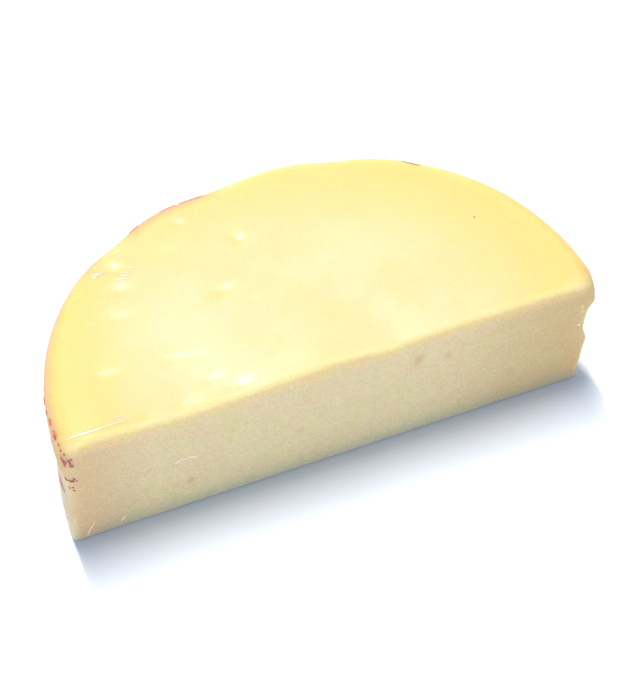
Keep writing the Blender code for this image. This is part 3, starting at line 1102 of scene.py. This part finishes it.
def makePrintTree():
    # Sets marks along a line at random and presses each on to the film.
    bench = newTree("printMarks", {"Film": "Object", "Spacing": "Float", "Size": "Float",
                                   "Lift": "Float", "Seed": "Int", "Material": "Material"})
    line = bench.node("GeometryNodeMeshToCurve", None, {"Mesh": bench.given("Geometry")})
    line = bench.node("GeometryNodeResampleCurve", {"mode": "LENGTH"},
                      {"Curve": line, "Length": bench.given("Spacing")})
    outward = filmAt(bench)[1]
    turned = bench.node("FunctionNodeAxesToRotation", {"primary_axis": "Z", "secondary_axis": "X"}, {
        "Primary Axis": outward, "Secondary Axis": bench.node("GeometryNodeInputTangent")})

    seed = bench.given("Seed")
    smallest, largest = printRows["sizes"]
    pick = bench.node("FunctionNodeRandomValue", {"data_type": "INT"},
                      {4: 0, 5: 4, "Seed": seed}, output=2)
    uneven = bench.node("FunctionNodeRandomValue", {"data_type": "FLOAT"},
                        {2: smallest, 3: largest, "Seed": seed}, output=1)
    kept = bench.node("FunctionNodeRandomValue", {"data_type": "BOOLEAN"},
                      {"Probability": printRows["kept"], "Seed": seed}, output=3)
    marks = bench.node("GeometryNodeInstanceOnPoints", None, {
        "Points": line, "Selection": kept, "Instance": markInstances(bench),
        "Pick Instance": True, "Instance Index": pick, "Rotation": turned,
        "Scale": bench.given("Size") * uneven})
    real = bench.node("GeometryNodeRealizeInstances", None, {"Geometry": marks})

    nearest, outward = filmAt(bench)
    offset = bench.vector("SUBTRACT", bench.node("GeometryNodeInputPosition"), nearest)
    height = bench.vector("DOT_PRODUCT", offset, outward, output="Value")
    halfThick = printRows["halfThick"]
    height = height.atMost(halfThick).atLeast(-halfThick)
    laid = bench.node("GeometryNodeSetPosition", None, {
        "Geometry": real, "Position": nearest,
        "Offset": bench.vector("SCALE", outward, bench.given("Lift") + height)})
    finishTree(bench, laid)
    return bench


def rimPath(share, start, end):
    # Points round the rim at a share of its height, between two angles.
    ring = outline(0.0, 0.0, share)
    steps = wheel["rimSteps"]
    angles = np.degrees(np.arctan2(ring[:steps + 1, 1] / wheel["depth"],
                                   ring[:steps + 1, 0] / wheel["halfWidth"]))
    first = int(np.searchsorted(angles, start))
    last = int(np.searchsorted(angles, end))
    return [surfacePoint(x, y, share * wheel["height"]) for x, y, cut in ring[first:last]]


def makePrint(ink):
    # A piece for each row of marks, printed along the stretches that it has round the rim.
    tree = makePrintTree()
    pieces = []
    for number, (share, size, spacing) in enumerate(printRows["rows"]):
        points, edges = [], []
        for start, end in printRows["stretches"]:
            path = rimPath(share, start, end)
            first = len(points)
            points += path
            edges += [(first + step, first + step + 1) for step in range(len(path) - 1)]
        pieces.append(growPiece("printRow%d" % number, guideMesh("printLine", points, edges), tree, {
            "Film": film, "Spacing": spacing, "Size": size, "Lift": printRows["lift"],
            "Seed": printRows["seed"] + number, "Material": ink}))
    return pieces


ink = makeInkMaterial()
folds = makeLines("clearFolds", clearFolds, makeFilmMaterial(
    "foldedFilm", evenCloud(0.0), filmLook["foldShine"], roughness=filmLook["foldRoughness"]))
# whitened film, with painted highlights
threads = makeLines("whiteThreads", whiteThreads + rimPleats(), makeFilmMaterial(
    "whiteFilmAndGlints", evenCloud(filmLook["threadWhiteAndGlint"]), filmLook["threadShine"],
    roughness=filmLook["foldRoughness"]), "flat")
# threads that glow, as painted light
paleThreads = makeLines("cutThreads", cutThreads, makeFilmMaterial(
    "paleFilmPaintedGlow", evenCloud(filmLook["cutThreadCloud"]), filmLook["cutThreadShine"],
    colour=filmLook["cutThreadColour"], paintedGlow=filmLook["cutThreadPaintedGlow"]), "flat")
strokes = makeLines("redStrokes", redStrokes, ink)
print("lines made:", [len(piece.data.polygons) for piece in (folds, threads, paleThreads, strokes)])
printed = makePrint(ink)
print("print made:", [len(piece.data.polygons) for piece in printed])

slots = [(cheese, "cheese")] + [(piece, "print") for piece in (strokes, *printed)]
slots += [(piece, "film") for piece in (film, folds, threads, paleThreads)]
for piece, slot in slots:
    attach(piece, "root")
    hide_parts(nodeName)


# The floor, the sky, a strip of light behind and above, a weak one in front, and the camera.
setting = {
    "floorHalf": 3.0,
    "floorColour": (0.90, 0.90, 0.90, 1.0),
    "floorMottle": (0.895, 0.895, 0.895, 1.0),
    "mottleSize": 0.20,
    "sky": (0.68, 0.925, 1.33, 1.0),
    "skyStrength": 0.415,
    "lightsAim": (0.0, 0.0, 0.04),
    "lights": {
        # power, colour, size across and upwards, distance, azimuth, elevation
        "behind": (580.0, (0.98, 0.985, 1.005), (0.16, 3.70), 7.00, 180.0, 72.7),
        "front": (6.2, (1.00, 0.99, 0.98), (1.60, 1.00), 2.50, -20.0, 20.0),
    },
}

view = {
    "azimuth": -21.544,     # 0 is in front, at -Y
    "elevation": 53.559,
    "distance": 0.94637,
    "aim": (0.00703, -0.01820, 0.02874),
    "lens": 103.1,          # in millimetres, as the sensor is
    "sensor": 36.0,
}


def directionOf(azimuth, elevation):
    # Unit vector from the object towards a light or a camera.
    turn, rise = math.radians(azimuth), math.radians(elevation)
    return Vector((math.sin(turn) * math.cos(rise), -math.cos(turn) * math.cos(rise), math.sin(rise)))


def makeFloor():
    material, bench = newMaterial("paleFloor")
    place = bench.place()
    mottle = bench.grain(place, setting["mottleSize"], detail=2.0)
    colour = bench.blend(mottle, setting["floorMottle"], setting["floorColour"])
    shader = bench.node("ShaderNodeBsdfPrincipled", None, {
        "Base Color": colour, "Roughness": 0.9, "Specular IOR Level": 0.0})
    finishMaterial(bench, shader)
    half = setting["floorHalf"]
    mesh = bpy.data.meshes.new("floor")
    mesh.from_pydata([(-half, -half, 0.0), (half, -half, 0.0), (half, half, 0.0), (-half, half, 0.0)],
                     [], [(0, 1, 2, 3)])
    mesh.materials.append(material)
    floor = addObject("floor", mesh)


def makeLights():
    for name, (power, colour, size, distance, azimuth, elevation) in setting["lights"].items():
        data = bpy.data.lights.new(name, "AREA")
        data.shape = "RECTANGLE"
        data.size, data.size_y = size
        data.energy = power
        data.color = colour
        light = addObject(name, data)
        towards = directionOf(azimuth, elevation)
        light.location = Vector(setting["lightsAim"]) + towards * distance
        light.rotation_euler = towards.to_track_quat("Z", "Y").to_euler()

    world = bpy.data.worlds.new("paleSky")
    world.use_nodes = True
    sky = world.node_tree.nodes["Background"]
    sky.inputs["Color"].default_value = setting["sky"]
    sky.inputs["Strength"].default_value = setting["skyStrength"]
    bpy.context.scene.world = world


def makeCamera():
    data = bpy.data.cameras.new("camera")
    data.lens = view["lens"]
    data.sensor_width = view["sensor"]
    camera = addObject("camera", data)
    back = directionOf(view["azimuth"], view["elevation"])
    camera.location = Vector(view["aim"]) + back * view["distance"]
    camera.rotation_euler = back.to_track_quat("Z", "Y").to_euler()
    bpy.context.scene.camera = camera


makeFloor()
makeLights()
makeCamera()
bpy.context.scene.view_settings.view_transform = "Standard"
